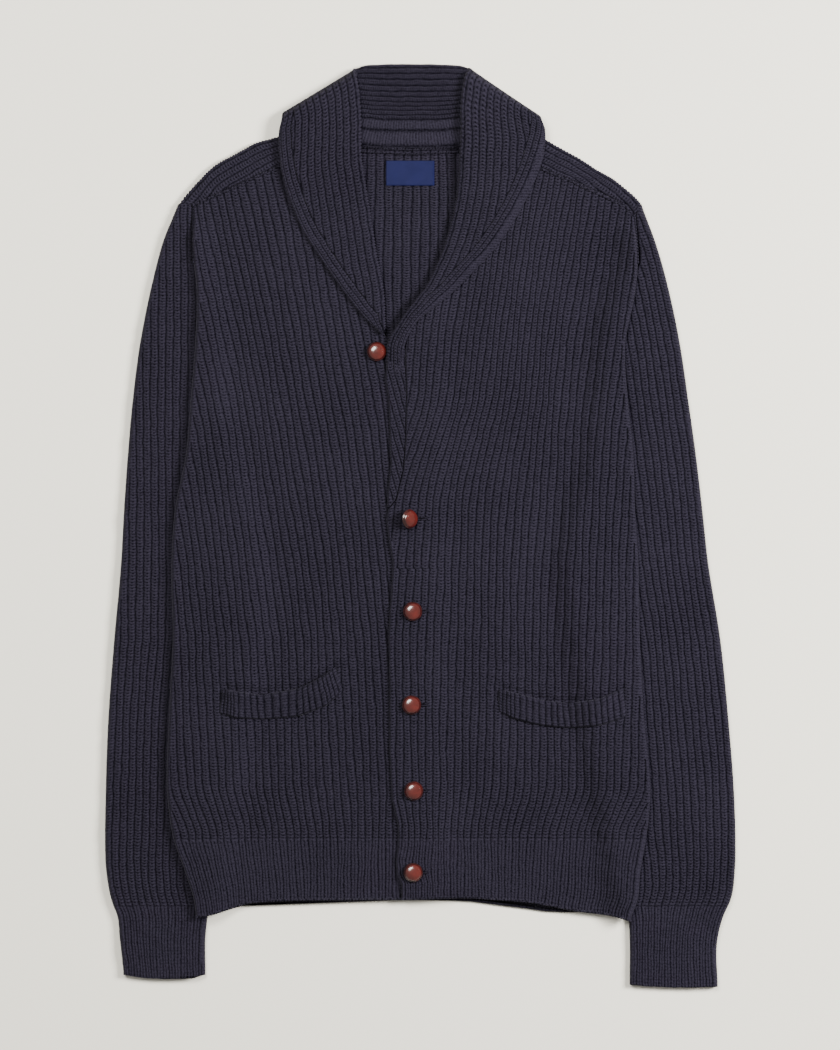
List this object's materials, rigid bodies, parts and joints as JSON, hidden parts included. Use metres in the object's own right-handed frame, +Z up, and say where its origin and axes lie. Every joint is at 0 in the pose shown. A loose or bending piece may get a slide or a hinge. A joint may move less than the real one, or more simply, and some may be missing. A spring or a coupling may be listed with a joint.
{
  "type": "shawl collar cardigan",
  "caption": "Rib-knit shawl collar cardigan laid flat on its back: saddle shoulders, domed leather buttons, welt pockets, ribbed hem and cuffs.",
  "frame": {"origin": "middle of the floor under the garment as it lies", "axes": "+Y towards the collar, +X towards the wearer's left, +Z up through the front"},
  "size_m": [0.581, 0.85, 0.0208],
  "materials": {
    "navy_knit": "soft brushed wool rib knit",
    "brown_leather": "polished domed leather",
    "label_blue": "bare woven satin label"
  },
  "bodies": {
    "root": {"back": "navy_knit", "front_right": "navy_knit", "front_left": "navy_knit", "sleeve_right": "navy_knit", "sleeve_left": "navy_knit", "saddle_right": "navy_knit", "saddle_left": "navy_knit", "pocket_welt_right": "navy_knit", "pocket_welt_left": "navy_knit", "collar": "navy_knit", "collar_tongue": "navy_knit", "neck_label": "label_blue", "button_1": "brown_leather", "button_2": "brown_leather", "button_3": "brown_leather", "button_4": "brown_leather", "button_5": "brown_leather", "button_6": "brown_leather"}
  },
  "joints": []
}
